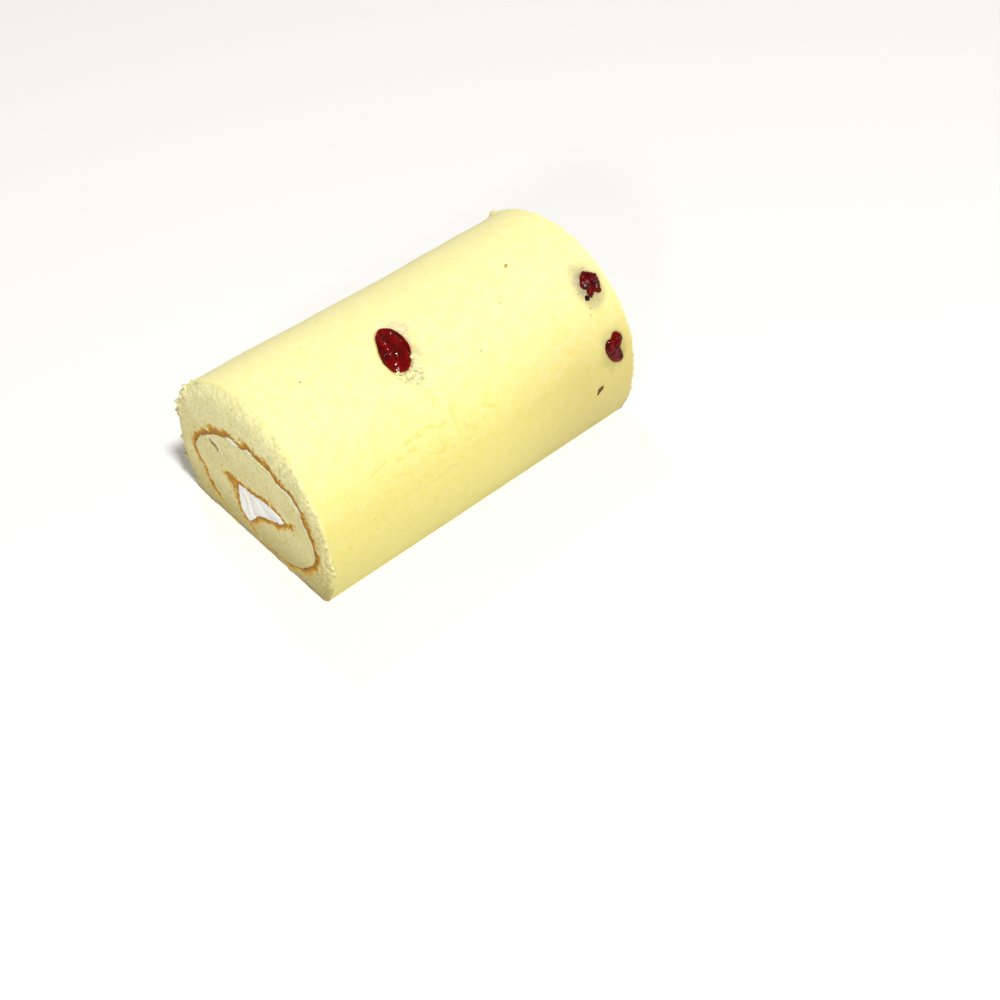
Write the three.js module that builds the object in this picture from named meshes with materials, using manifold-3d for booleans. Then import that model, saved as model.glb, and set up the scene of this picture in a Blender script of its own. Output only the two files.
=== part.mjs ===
// Swiss roll cake: a short log of sponge rolled round a cream pocket, with both ends cut flat.
// One sheet of sponge makes the whole roll. A ribbon of cream follows its inner side from the
// seam under the log to the pocket at the middle, and three dried berries sit in the outer skin.
// Millimetres, +Z up. The roll's axis lies along X, and the origin is at the middle of the base.

import * as THREE from 'three';
import { mergeVertices } from 'three/addons/utils/BufferGeometryUtils.js';
import Module from 'manifold-3d';

// Driving dimensions of the log
const LENGTH = 146;
const WIDTH = 90;
const HEIGHT = 68;
const WIDEST_SHARE = 0.353; // height of the widest level above the base, as a share of HEIGHT
const SQUARENESS = 2.09; // superellipse exponent: 2 is an ellipse, more is squarer
const RIM_RADIUS = 1.2; // soft edge round each cut end
const TOP_SAG = 1; // how far the top settles half way along
const WAVE_DEPTH = 0.6; // uneven dips of the outer skin

// Fineness of the log's surface
const OUTLINE_SEGMENTS = 72;
const STRAIGHT_STEPS = 12;
const RIM_STEPS = 2;

// Cream
const CREAM_THICKNESS = 0.8; // thinnest stretch of the ribbon
const FIT_GAP = 0.3; // clearance between cream, berries and sponge
const CREAM_SETBACK = 4; // length of seam under the log that holds no cream
const LINE_STEP = 2.2; // spacing of the outline's points along the rolled line

// The browned inner side of the sponge sheet, from the seam at the base, round the roll and back
// under it, to the lower corner of the cream pocket: [y, z] of the places where it bends.
const ROLLED_LINE = [
  [11, -1], [18, 3.8], [24.5, 8.8], [27.8, 13], [29.2, 18], [32.6, 21.8], [33.5, 26], [30, 32.5],
  [24, 37.5], [17, 42.3], [11, 45], [7.5, 46.8], [2, 46.4], [-3.5, 48.4], [-9.5, 47.6],
  [-15.5, 47.2], [-19.5, 44], [-25.5, 43.6], [-30.5, 38.8], [-32.5, 33], [-35.7, 27],
  [-35.6, 19], [-30.5, 11.6], [-21, 4.8], [-11, 2.9], [-1.5, 2.5], [4.6, 8],
];

// The cream pocket's edge, going on from that corner and back to the foot of the sheet's inner end
const POCKET_LINE = [
  [8.6, 10.2], [9.2, 15], [8.8, 20], [7.6, 25], [0, 25.6], [-10, 27.3], [-15, 27], [-19.4, 25.6],
  [-17, 22.6], [-8, 18.8], [-2.5, 16], [3.2, 9.4],
];

// Places where the ribbon of cream is thicker: [y, z] on the rolled line, the extra and its reach
const CREAM_BULGES = [
  { place: [7.6, 46.6], extra: 2.6, reach: 2.4 },
  { place: [4.5, 46.3], extra: 0.6, reach: 2.2 },
  { place: [-3.2, 48.2], extra: 1.6, reach: 1.7 },
  { place: [-21.5, 43.9], extra: 0.8, reach: 3 },
  { place: [-28, 41], extra: 1.1, reach: 4 },
  { place: [-32.4, 33.2], extra: 0.7, reach: 1.8 },
  { place: [33.3, 25], extra: 0.8, reach: 2.6 },
  { place: [28, 13.6], extra: 1, reach: 2.2 },
  { place: [-0.5, 2.6], extra: 0.9, reach: 1.6 },
];

// Dried berries sunk in the skin. angle runs round the section: 0 is the +Y side, 90 the top.
// turn swings the berry's length from the way round the section towards +X. rise and depth are
// its heights above and below its widest level, and notch the share of a nick in its +X side.
const BERRIES = [
  {
    name: 'dried_berry_middle', x: -15.5, angle: 105.8, turn: -17,
    length: 19.6, width: 11.5, rise: 2, depth: 4, notch: 0.05,
  },
  {
    name: 'dried_berry_end_upper', x: 64.8, angle: 127.1, turn: -22,
    length: 10.6, width: 8.8, rise: 1.6, depth: 3, notch: 0.15,
  },
  {
    name: 'dried_berry_end_lower', x: 63.6, angle: 162.2, turn: -5,
    length: 12.6, width: 9.6, rise: 1.6, depth: 3, notch: 0.35,
  },
];
const BERRY_SINK = 0.5; // how far a berry's widest level lies under the skin
const BERRY_WRINKLE = 0.07; // depth of the folds, as a share of the radius
// Shallow dimple in the skin beside the middle berry, as a flat ball centred on the skin
const DIMPLE = { x: -13.4, angle: 108, turn: -17, length: 25, width: 14, rise: 2, depth: 0.9 };
const BERRY_SEGMENTS = 26;
const BERRY_RINGS = 15;

const MATERIALS = {
  sponge: { color: 0xf6e59b, roughness: 0.85, metalness: 0 },
  cream: { color: 0xf7f4ea, roughness: 0.4, metalness: 0 },
  berry: { color: 0x8a0d0a, roughness: 0.3, metalness: 0 },
};

const widestHeight = HEIGHT * WIDEST_SHARE;
const riseAboveWidest = HEIGHT - widestHeight;

const wasm = await Module();
wasm.setup();

// Turns a closed three.js geometry into a solid that can be cut and joined.
function toSolid(geometry) {
  const bare = geometry.clone();
  bare.deleteAttribute('normal');
  bare.deleteAttribute('uv');
  const merged = mergeVertices(bare, 1e-4);
  const mesh = new wasm.Mesh({
    numProp: 3,
    vertProperties: new Float32Array(merged.attributes.position.array),
    triVerts: new Uint32Array(merged.index.array),
  });
  return new wasm.Manifold(mesh);
}

function toGeometry(solid) {
  const mesh = solid.getMesh();
  const geometry = new THREE.BufferGeometry();
  geometry.setAttribute('position', new THREE.BufferAttribute(mesh.vertProperties, 3));
  geometry.setIndex(new THREE.BufferAttribute(mesh.triVerts, 1));
  geometry.computeVertexNormals();
  return geometry;
}

function signedPower(value, exponent) {
  return Math.sign(value) * Math.abs(value) ** exponent;
}

// Point on the log's section, as (y, z), before the base cuts it off level.
function sectionPoint(angle) {
  const y = (WIDTH / 2) * signedPower(Math.cos(angle), 2 / SQUARENESS);
  const z = widestHeight + riseAboveWidest * signedPower(Math.sin(angle), 2 / SQUARENESS);
  return new THREE.Vector2(y, z);
}

// The section with its level base: the arc that stays above the base, closed by a straight line.
function sectionOutline() {
  const baseSine = (widestHeight / riseAboveWidest) ** (SQUARENESS / 2);
  const start = -Math.asin(baseSine);
  const sweep = Math.PI - 2 * start;
  const points = [];
  for (let i = 0; i <= OUTLINE_SEGMENTS; i += 1) {
    points.push(sectionPoint(start + (sweep * i) / OUTLINE_SEGMENTS));
  }
  points[0].y = 0;
  points[OUTLINE_SEGMENTS].y = 0;
  return points;
}

// Stands a geometry extruded along Z on its section plane: section x, y become Y, Z of the log.
function layAlongX(geometry) {
  const turn = new THREE.Matrix4().makeBasis(
    new THREE.Vector3(0, 1, 0),
    new THREE.Vector3(0, 0, 1),
    new THREE.Vector3(1, 0, 0),
  );
  return geometry.applyMatrix4(turn);
}

// Places of the rings along the log: close together in the soft rims, even between them.
function ringPlaces() {
  const half = LENGTH / 2;
  const places = [];
  for (let i = 0; i <= RIM_STEPS; i += 1) {
    const share = 1 - Math.cos((Math.PI / 2) * (i / RIM_STEPS));
    places.push(-half + RIM_RADIUS * share);
  }
  const straight = LENGTH - 2 * RIM_RADIUS;
  for (let i = 1; i < STRAIGHT_STEPS; i += 1) {
    places.push(-half + RIM_RADIUS + (straight * i) / STRAIGHT_STEPS);
  }
  const mirrored = places.slice(0, RIM_STEPS + 1).map((x) => -x);
  return places.concat(mirrored.reverse());
}

// How far the skin is drawn in at x by the soft rim: a quarter circle at each end.
function rimInset(x) {
  const fromEnd = LENGTH / 2 - Math.abs(x);
  if (fromEnd >= RIM_RADIUS) return 0;
  const rest = RIM_RADIUS - fromEnd;
  return RIM_RADIUS - Math.sqrt(RIM_RADIUS ** 2 - rest ** 2);
}

// Slow uneven dips of the skin, from 0 to WAVE_DEPTH, fading to nothing at the base.
function skinDip(x, y, z) {
  const along = Math.sin(x / 17 + y / 29) + Math.sin(x / 31 - y / 13 + 2);
  return WAVE_DEPTH * (0.5 + along / 4) * Math.min(1, z / 12);
}

// Moves a point of the plain log to its settled place.
function settle(point) {
  const dip = skinDip(point.x, point.y, point.z) + rimInset(point.x);
  const middle = 1 - (2 * point.x / LENGTH) ** 2;
  const sag = TOP_SAG * middle * (point.z / HEIGHT) ** 2;
  point.y *= 1 - dip / (WIDTH / 2);
  point.z *= 1 - (dip + sag) / HEIGHT;
}

function logSolid() {
  const places = ringPlaces();
  const geometry = layAlongX(new THREE.ExtrudeGeometry(new THREE.Shape(sectionOutline()), {
    steps: places.length - 1,
    depth: places.length - 1,
    bevelEnabled: false,
  }));
  const position = geometry.attributes.position;
  const point = new THREE.Vector3();
  for (let i = 0; i < position.count; i += 1) {
    point.fromBufferAttribute(position, i);
    point.x = places[Math.round(point.x)];
    settle(point);
    position.setXYZ(i, point.x, point.y, point.z);
  }
  return toSolid(geometry);
}

function toVectors(pairs) {
  return pairs.map(([y, z]) => new THREE.Vector2(y, z));
}

// Thickness of the cream at a place on the rolled line.
function creamThickness(place) {
  let thickness = CREAM_THICKNESS;
  for (const bulge of CREAM_BULGES) {
    const away = place.distanceTo(new THREE.Vector2(...bulge.place)) / bulge.reach;
    thickness += bulge.extra * Math.exp(-(away ** 2));
  }
  return thickness;
}

// Outline of the cream: out along the browned side of the sheet, round the pocket and back along
// the next turn's pale side. setback is the length of seam left out at the start.
function creamOutline(setback) {
  const line = new THREE.SplineCurve(toVectors(ROLLED_LINE));
  const length = line.getLength();
  const steps = Math.round((length - setback) / LINE_STEP);
  const outer = [];
  const inner = [];
  for (let i = 0; i <= steps; i += 1) {
    const share = (setback + ((length - setback) * i) / steps) / length;
    const place = line.getPointAt(share);
    const heading = line.getTangentAt(share);
    const inward = new THREE.Vector2(-heading.y, heading.x);
    outer.push(place);
    if (i < steps) inner.push(place.clone().addScaledVector(inward, creamThickness(place)));
  }
  return outer.concat(toVectors(POCKET_LINE), inner.reverse());
}

// Moves every side of a closed outline outwards by a distance.
function widen(points, distance) {
  const count = points.length;
  return points.map((point, i) => {
    const before = point.clone().sub(points[(i + count - 1) % count]).normalize();
    const after = points[(i + 1) % count].clone().sub(point).normalize();
    const normal = new THREE.Vector2(before.y + after.y, -before.x - after.x).normalize();
    const lean = Math.max(0.6, normal.x * after.y - normal.y * after.x);
    return point.clone().addScaledVector(normal, distance / lean);
  });
}

function prismSolid(outline, length) {
  const geometry = new THREE.ExtrudeGeometry(new THREE.Shape(outline), {
    steps: 1,
    depth: length,
    bevelEnabled: false,
  });
  geometry.translate(0, 0, -length / 2);
  return toSolid(layAlongX(geometry));
}

// The place of a berry or dimple: its matrix turns length, width and rise to their directions on
// the log, sink millimetres under the skin.
function placeOnSkin(berry, sink) {
  const angle = THREE.MathUtils.degToRad(berry.angle);
  const nudge = 0.01;
  const here = sectionPoint(angle);
  const along = sectionPoint(angle + nudge).sub(sectionPoint(angle - nudge)).normalize();
  const round = new THREE.Vector3(0, along.x, along.y);
  const outward = new THREE.Vector3(0, along.y, -along.x);
  const turn = THREE.MathUtils.degToRad(berry.turn);
  const lengthwise = round.multiplyScalar(Math.cos(turn));
  lengthwise.x = Math.sin(turn);
  const crosswise = new THREE.Vector3().crossVectors(outward, lengthwise);
  const centre = new THREE.Vector3(berry.x, here.x, here.y);
  settle(centre);
  centre.addScaledVector(outward, -sink);
  return new THREE.Matrix4().makeBasis(lengthwise, crosswise, outward).setPosition(centre);
}

// Folded skin of a dried berry: a share added to the radius in a direction from its middle.
function berryFold(direction, notch) {
  const lengthFold = Math.sin(7 * Math.atan2(direction.z, direction.y) + 2.5 * direction.x);
  const crossFold = Math.sin(6 * direction.x + 3 * direction.z + 1);
  const nick = Math.exp(-((direction.x / 0.35) ** 2)) * Math.max(0, direction.y);
  const atTips = 1 - direction.x ** 4;
  return BERRY_WRINKLE * atTips * (0.6 * lengthFold + 0.4 * crossFold - 1) - notch * nick;
}

// A ball drawn out to a length and width, with its own heights above and below its widest level.
function flatBall(sizes, clearance, sink, fold) {
  const geometry = new THREE.SphereGeometry(1, BERRY_SEGMENTS, BERRY_RINGS);
  geometry.rotateZ(Math.PI / 2);
  const position = geometry.attributes.position;
  const point = new THREE.Vector3();
  for (let i = 0; i < position.count; i += 1) {
    point.fromBufferAttribute(position, i);
    point.multiplyScalar(1 + fold(point));
    point.x *= sizes.length / 2 + clearance;
    point.y *= sizes.width / 2 + clearance;
    point.z *= (point.z > 0 ? sizes.rise : sizes.depth) + clearance;
    position.setXYZ(i, point.x, point.y, point.z);
  }
  return geometry.applyMatrix4(placeOnSkin(sizes, sink));
}

function berryGeometry(berry) {
  return flatBall(berry, 0, BERRY_SINK, (direction) => berryFold(direction, berry.notch));
}

// The hollow that a berry leaves in the sponge, clear of it all round.
function berryHollow(berry) {
  return toSolid(flatBall(berry, FIT_GAP, BERRY_SINK, () => 0));
}

function spongeGeometry() {
  const channel = prismSolid(widen(creamOutline(0), FIT_GAP), LENGTH + 2);
  let sponge = logSolid().subtract(channel);
  sponge = sponge.subtract(toSolid(flatBall(DIMPLE, 0, 0, () => 0)));
  for (const berry of BERRIES) {
    sponge = sponge.subtract(berryHollow(berry));
  }
  return toGeometry(sponge);
}

function creamGeometry() {
  return toGeometry(prismSolid(creamOutline(CREAM_SETBACK), LENGTH));
}

function namedMesh(name, geometry, look) {
  const mesh = new THREE.Mesh(geometry, new THREE.MeshStandardMaterial(look));
  mesh.name = name;
  return mesh;
}

const swissRoll = new THREE.Group();
swissRoll.add(namedMesh('sponge_sheet', spongeGeometry(), MATERIALS.sponge));
swissRoll.add(namedMesh('cream_filling', creamGeometry(), MATERIALS.cream));
for (const berry of BERRIES) {
  swissRoll.add(namedMesh(berry.name, berryGeometry(berry), MATERIALS.berry));
}

export default swissRoll;
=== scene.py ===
"""Swiss roll cake: a cut log of rolled sponge, with cream in its turns and dried berries on it.

The roll's axis lies along X and its base on z = 0. Lengths in the code are millimetres, and each
mesh is turned to metres as it is made. Angles round the section start at +Y and 90 is the top.
"""

import math
from functools import lru_cache

import bmesh
import bpy
import numpy as np
from bpy.props import FloatProperty, FloatVectorProperty, IntProperty, PointerProperty
from mathutils import Matrix, Vector, geometry, noise


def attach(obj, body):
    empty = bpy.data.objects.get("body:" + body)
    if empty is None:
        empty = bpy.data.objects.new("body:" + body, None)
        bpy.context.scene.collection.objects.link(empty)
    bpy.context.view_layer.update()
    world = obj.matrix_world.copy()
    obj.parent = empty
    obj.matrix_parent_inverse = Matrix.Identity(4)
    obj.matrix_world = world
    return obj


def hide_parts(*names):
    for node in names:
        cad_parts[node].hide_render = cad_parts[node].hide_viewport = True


bl_info = {
    "name": "Swiss roll cake",
    "version": (1, 0, 0),
    "blender": (4, 5, 0),
    "location": "View3D > Sidebar > Swiss roll",
    "description": "Builds a cut swiss roll with its cream, dried berries and crumbs",
    "category": "Add Mesh",
}

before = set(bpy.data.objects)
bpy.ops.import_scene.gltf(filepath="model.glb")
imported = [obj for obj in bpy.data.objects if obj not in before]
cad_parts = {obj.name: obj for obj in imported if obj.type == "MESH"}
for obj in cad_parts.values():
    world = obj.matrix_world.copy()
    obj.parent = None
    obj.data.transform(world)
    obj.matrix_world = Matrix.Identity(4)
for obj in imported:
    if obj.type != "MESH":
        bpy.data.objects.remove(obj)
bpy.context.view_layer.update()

MM = 0.001
SEED = 7

# The log's size, and the form of its section and settled skin
LENGTH = 146.0
WIDTH = 90.0
HEIGHT = 68.0
WIDEST_SHARE = 0.353  # how high its widest level lies, as a share of the height
SQUARENESS = 2.09  # 2 gives a plain ellipse
RIM_RADIUS = 1.2
TOP_SAG = 1.0
WAVE_DEPTH = 0.6
SKIN_SINK = 0.3  # how far the fine skin lies inside the plain form, to leave room for its relief
CREASE_DEPTH = 0.22
CREASE_REACH = 0.75
FRAYED_BAND = 2.6  # how far in from the cut the skin's edge is frayed

# The browned side of the sheet from the seam, round the roll, to the cream pocket: (y, z)
ROLLED_LINE = [
    (11, -1), (18, 3.8), (24.5, 8.8), (27.8, 13), (29.2, 18), (32.6, 21.8), (33.5, 26),
    (30, 32.5), (24, 37.5), (17, 42.3), (11, 45), (7.5, 46.8), (2, 46.4), (-3.5, 48.4),
    (-9.5, 47.6), (-15.5, 47.2), (-19.5, 44), (-25.5, 43.6), (-30.5, 38.8), (-32.5, 33),
    (-35.7, 27), (-35.6, 19), (-30.5, 11.6), (-21, 4.8), (-11, 2.9), (-1.5, 2.5), (4.6, 8),
]
POCKET_LINE = [
    (8.6, 10.2), (9.2, 15), (8.8, 20), (7.6, 25), (0, 25.6), (-10, 27.3), (-15, 27),
    (-19.4, 25.6), (-17, 22.6), (-8, 18.8), (-2.5, 16), (3.2, 9.4),
]
# Folds where the browned side meets itself, past the pocket's corners: start and end
FOLDS = [((7.6, 25), (14.6, 25.2)), ((9, 20), (13.5, 24)), ((-19.4, 25.6), (-23.4, 26.8))]
SEAM_FOLD = ((14, 1), (11.2, -0.5))
SEAM_Y = 11.5
SEAM_GROOVE = 0.9
UNBROWNED = 9.0  # a depth behind the browned side that is well past the browning

# Thick places in the ribbon of cream: ((y, z) on the line, extra thickness, reach)
CREAM_BULGES = [
    ((7.6, 46.6), 2.6, 2.4),
    ((4.5, 46.3), 0.6, 2.2),
    ((-3.2, 48.2), 1.6, 1.7),
    ((-21.5, 43.9), 0.8, 3),
    ((-28, 41), 1.1, 4),
    ((-32.4, 33.2), 0.7, 1.8),
    ((33.3, 25), 0.8, 2.6),
    ((28, 13.6), 1, 2.2),
    ((-0.5, 2.6), 0.9, 1.6),
]
CREAM_SETBACK = 4.0
POCKET_MIDDLE = (-4.0, 20.0)
IN_POCKET = 9.0  # a thickness that stands for the pocket, where the cream is no ribbon
# Soft furrows left in the pocket's cream by the knife: line, depth, reach
FURROWS = [
    ([(2.2, 24.5), (1.6, 20), (0.8, 15)], 0.9, 1.0),
    ([(-4, 24.8), (-9, 21.5), (-14, 22.5)], 0.5, 1.2),
    ([(7.5, 22), (5, 17), (6, 12)], 0.4, 1.1),
]
# Turns a pattern on the cut faces by 34 degrees and widens it 1.8 times
CRUMB_GRAIN = ((1, 0, 0), (0, 0.45, 0.3), (0, -0.3, 0.45))

# Clumps of browned crumb along the line, and stretches where the browning fades: place, size
# and reach
BROWNING_THICKNESS = 1.6
CRUST_CLUMPS = [
    ((25.5, 37.8), 1.0, 2.2), ((21.5, 41.8), 1.3, 2.0), ((17.5, 43.8), 1.5, 2.4),
    ((11.5, 45.8), 2.0, 2.4), ((9.8, 49.0), 1.9, 1.3), ((-3.0, 50.4), 2.2, 1.7),
    ((-8, 48.8), 0.6, 3.0), ((-15, 49.0), 0.9, 2.5), ((-19, 45.2), 1.2, 1.8),
    ((-25, 45.2), 1.2, 2.2), ((-28.3, 42.8), 0.8, 1.8), ((-31.8, 38.8), 1.3, 2.4),
    ((-33.6, 34.6), 1.2, 1.8), ((-36, 30), 1.3, 2.2), ((-36.6, 22), 1.7, 3.0),
    ((-36.2, 16), 1.1, 3.0), ((-30.2, 8.8), 0.9, 2.2), ((-28, 43), 0.9, 2.0),
    ((10.4, 22.5), 1.5, 2.2), ((8, 9.3), 1.0, 1.8), ((-8, 28.4), 0.7, 3.0),
    ((-14.5, 20.3), 0.5, 2.0),
]
CRUST_FADES = [
    ((19, 4.5), 0.9, 5.0), ((10, 0.5), 0.9, 6.0), ((-2, 2.2), 0.7, 4.0), ((-12, 2.5), 0.75, 7.0),
    ((-23, 5.8), 0.6, 3.0), ((30, 19), 0.35, 4.0), ((3, 6.5), 0.6, 2.2), ((4, 47.8), 0.3, 2.5),
]

# A slit in the cut crumb with cream dragged over its upper lip: an arc of places (y, z)
SLIT = {"line": [(21.6, 35.5), (18.9, 34.5)], "width": 2.6, "depth": 1.8}
SLIT_CREAM = {"line": [(22.2, 37.6), (19.6, 37.5), (17.0, 36.6), (15.2, 33.6)], "width": 1.1}

# Dried berries. reach is from the middle to the outline at each 15 degrees round it, rise and depth
# are how far it goes above and below its middle, dark deepens its colour, and ragged is how torn
# its outline is
BERRIES = [
    {
        "name": "berry_middle", "node": "dried_berry_middle",
        "x": -15.5, "angle": 105.8, "turn": -17.0,
        "length": 19.6, "width": 11.5, "rise": 2.0, "depth": 4.0, "dark": 0.0, "ragged": 0.02,
        "reach": [9.3, 8.9, 7.6, 6.7, 6.1, 5.9, 6.0, 6.2, 6.6, 7.3, 8.4, 9.6, 10.3, 9.9, 8.0, 6.4,
                  5.6, 5.4, 5.4, 5.7, 6.2, 7.1, 8.4, 9.7],
    },
    {
        "name": "berry_end_upper", "node": "dried_berry_end_upper",
        "x": 64.8, "angle": 127.1, "turn": -22.0,
        "length": 10.6, "width": 8.8, "rise": 1.6, "depth": 3.0, "dark": 0.2, "ragged": 0.14,
        "reach": [3.6, 3.2, 4.5, 4.6, 3.9, 3.5, 3.5, 3.6, 4.0, 4.3, 4.2, 4.1, 4.3, 4.7, 5.1, 4.9,
                  4.5, 4.4, 4.6, 4.8, 4.4, 3.5, 4.9, 5.7],
    },
    {
        "name": "berry_end_lower", "node": "dried_berry_end_lower",
        "x": 63.6, "angle": 162.2, "turn": -5.0,
        "length": 12.6, "width": 9.6, "rise": 1.6, "depth": 3.0, "dark": 0.1, "ragged": 0.07,
        "reach": [5.6, 6.1, 6.3, 4.1, 2.9, 2.2, 1.8, 1.7, 4.4, 5.3, 5.8, 6.2, 6, 4.2, 4.8, 5.1,
                  5.1, 4.9, 4.7, 4.5, 4.4, 4.6, 4.8, 5.3],
    },
]
BERRY_SINK = 0.5
# A shallow hollow in the skin round the middle berry
DIMPLE = {"x": -13.4, "angle": 108.0, "turn": -17.0, "length": 25.0, "width": 14.0, "depth": 0.9}

OUTSIDE = 9.0  # a share of an outline's reach that is well outside it

# Marks on the skin, by place: (x, s), with s from the top line down the -Y side
PATCH = {"x": -14.0, "s": 15.0, "wide": 34.0, "long": 44.0}
PEEL_DEPTH = 0.45
TORN_RELIEF = 1.15
# Outlines in the patch where the skin has peeled, and where the crumb under it is torn as well
PEELED = [
    (-7.6, 1.0), (-5.7, 3.0), (-3.9, 6.3), (-4.3, 8.2), (-7.7, 13.1), (-11.5, 18.7),
    (-11.7, 21.3), (-11.3, 24.1), (-13.5, 27.8), (-16.0, 29.1), (-19.4, 28.1), (-21.2, 24.6),
    (-20.8, 21.6), (-22.4, 15.7), (-19.1, 8.7), (-15.8, 4.3), (-12.5, 2.7), (-9.4, 2.0),
]
TORN = [
    (-20.4, 21.2), (-18.0, 21.0), (-14.9, 20.8), (-12.3, 18.4), (-11.4, 19.9), (-11.6, 22.1),
    (-11.4, 25.0), (-13.2, 28.2), (-15.9, 29.2), (-19.1, 28.3), (-20.6, 25.8), (-21.0, 23.9),
]
STAINS = [
    {"x": 62.8, "s": 29.5, "wide": 17.5, "long": 23.0, "strength": 1.0},
    {"x": 63.0, "s": 56.5, "wide": 16.0, "long": 21.0, "strength": 0.5},
    {"x": -13.0, "s": 15.0, "wide": 18.0, "long": 26.0, "strength": 0.38},
    {"x": -9.2, "s": 17.0, "wide": 4.5, "long": 11.0, "strength": 0.55},
]
CREASES = [
    [(-22, 42.7), (-17.2, 45.3), (-14.2, 45)], [(-10.3, 41.4), (-11, 45.1)],
    [(-32.7, 47.2), (-28.9, 47.6)], [(-48.3, 47.6), (-44.4, 46.9), (-41.4, 45.8)],
    [(-28, 43.5), (-24.1, 44.8)], [(-16.2, 38), (-14.5, 35.9)], [(-36.9, 47.8), (-34.6, 48)],
    [(-32.1, 44.3), (-29.3, 43.6)], [(-25, 52), (-20, 54), (-17, 53)], [(-8, 50), (-4, 53)],
    [(-38, 53), (-33, 55.5)], [(2, 47), (6, 50)], [(-46, 56), (-42, 57)],
    [(42.4, 45.4), (43.4, 48.2)],
]
WRINKLED = {"x": -25.0, "s": 50.0, "wide": 80.0, "long": 44.0}
# Torn crumb by the middle berry: lines of places, with how many lumps lie along each
LOOSE_CRUMB = [
    ([(-12.0, 18.2), (-14.9, 20.8), (-17.8, 21.2), (-20.4, 21.4)], 40),
    ([(-20.9, 22.2), (-20.4, 24.6), (-18.9, 27.4), (-16, 28.6)], 14),
    ([(-12.4, 22.0), (-12.6, 25.1), (-14.2, 27.4)], 7),
    ([(-13, 21.8), (-15, 25), (-18, 24.5)], 10),
]
LOOSE_LIFT = 0.85
LOOSE_WIDTHS = (0.8, 2.1)

# Tufts that stand furthest out along the cut edges: end, place (y, z), height, reach
NUBS = [
    {"end": 1, "place": (33, 55), "height": 1.8, "reach": 3.6},
    {"end": -1, "place": (43.8, 13.5), "height": 2.1, "reach": 1.4},
    {"end": -1, "place": (45.0, 21.5), "height": 1.2, "reach": 1.3},
    {"end": -1, "place": (42.3, 6.5), "height": 1.3, "reach": 1.4},
    {"end": -1, "place": (43.5, 36.0), "height": 1.3, "reach": 1.6},
    {"end": -1, "place": (38.5, 48), "height": 0.9, "reach": 1.8},
]

# Flecks of fruit and of scorched sugar in the skin
FLECKS = [
    {"x": 54.0, "angle": 179.8, "turn": -41, "length": 3.5, "width": 2.4, "dark": 0.82},
    {"x": 59.7, "angle": 132.5, "turn": 0, "length": 2.0, "width": 1.9, "dark": 1.0},
    {"x": 61.3, "angle": 132.6, "turn": 60, "length": 2.2, "width": 0.6, "dark": 0.9},
    {"x": 58.9, "angle": 137.5, "turn": 10, "length": 0.7, "width": 0.5, "dark": 0.4},
    {"x": 57.7, "angle": 140.5, "turn": 10, "length": 0.5, "width": 0.4, "dark": 0.2},
    {"x": 42.4, "angle": 97.1, "turn": -50, "length": 2.1, "width": 1.1, "dark": 0.1},
    {"x": 10.9, "angle": 127.5, "turn": 30, "length": 0.6, "width": 0.45, "dark": 0.2},
    {"x": 29.2, "angle": 112.4, "turn": 80, "length": 0.6, "width": 0.4, "dark": 0.0},
    {"x": -49.7, "angle": 96.3, "turn": 0, "length": 0.8, "width": 0.6, "dark": 0.2},
]

widest_height = HEIGHT * WIDEST_SHARE
rise_above_widest = HEIGHT - widest_height


def linear(code):
    """An sRGB hex colour as linear red, green and blue."""
    shares = [int(code[i:i + 2], 16) / 255 for i in (0, 2, 4)]
    return tuple(c / 12.92 if c <= 0.04045 else ((c + 0.055) / 1.055) ** 2.4 for c in shares)


# ---------------------------------------------------------------- settings


class SpongeSettings(bpy.types.PropertyGroup):
    """Sizes and colours of the rolled sponge."""

    fine_step: FloatProperty(
        name="Fine step", description="Distance between points on the cut faces and round the skin",
        default=0.62 * MM, unit="LENGTH")
    coarse_step: FloatProperty(
        name="Coarse step", description="Distance between points on the base and along the log",
        default=1.25 * MM, unit="LENGTH")
    pore_depth: FloatProperty(
        name="Pore depth", description="Depth of the open pores on the cut faces",
        default=0.45 * MM, unit="LENGTH")
    edge_wear: FloatProperty(
        name="Edge wear", description="Depth of the nicks along the cut edges",
        default=1.15 * MM, unit="LENGTH")
    skin_colour: FloatVectorProperty(
        name="Skin", description="Colour of the pale outer skin",
        default=linear("F7EDAE"), subtype="COLOR", min=0, max=1)
    crumb_colour: FloatVectorProperty(
        name="Crumb", description="Colour of the cut crumb",
        default=linear("EFE4A6"), subtype="COLOR", min=0, max=1)
    crust_colour: FloatVectorProperty(
        name="Crust", description="Colour of the browned side of the sheet",
        default=linear("CE9200"), subtype="COLOR", min=0, max=1)


class CreamSettings(bpy.types.PropertyGroup):
    """Sizes and colour of the cream."""

    ribbon_thickness: FloatProperty(
        name="Ribbon", description="Thickness of the cream where it is thinnest",
        default=0.35 * MM, unit="LENGTH")
    swell: FloatProperty(
        name="Swell", description="How uneven the cream's cut surface is",
        default=0.35 * MM, unit="LENGTH")
    colour: FloatVectorProperty(
        name="Cream", description="Colour of the whipped cream",
        default=linear("FBFAF4"), subtype="COLOR", min=0, max=1)


class BerrySettings(bpy.types.PropertyGroup):
    """Skin and colour of the dried berries."""

    wrinkle: FloatProperty(
        name="Wrinkle", description="Depth of the folds as a share of the radius",
        default=0.07, min=0, max=0.3)
    colour: FloatVectorProperty(
        name="Fruit", description="Colour of the fruit's skin",
        default=linear("780201"), subtype="COLOR", min=0, max=1)
    dark_and_fold_shade_colour: FloatVectorProperty(
        name="Folds", description="Colour deep in the fruit's folds",
        default=linear("300001"), subtype="COLOR", min=0, max=1)


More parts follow.
